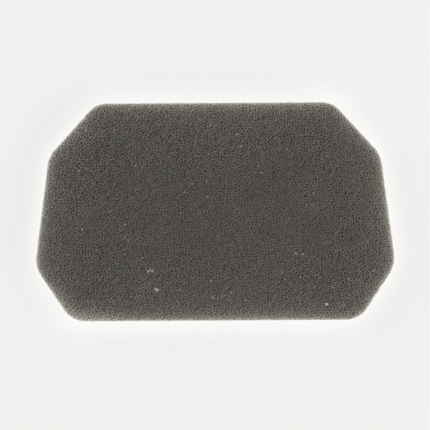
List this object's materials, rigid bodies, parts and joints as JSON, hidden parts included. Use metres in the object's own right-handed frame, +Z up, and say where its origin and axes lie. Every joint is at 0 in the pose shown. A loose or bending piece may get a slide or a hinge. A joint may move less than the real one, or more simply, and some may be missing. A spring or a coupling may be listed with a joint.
{
  "type": "foam air filter element",
  "caption": "Flat pad of open-cell foam with clipped, rounded corners, which filters the intake air of a small engine inside its air box.",
  "frame": {"origin": "middle of the underside, on the surface that the pad lies on", "axes": "+X along the length, +Y towards the narrow edge, +Z up through the thickness"},
  "size_m": [0.12, 0.0726, 0.012],
  "materials": {
    "filter_foam": "matte open-cell polyurethane foam, dark grey"
  },
  "bodies": {
    "root": {"foam_element": "filter_foam"}
  },
  "joints": []
}
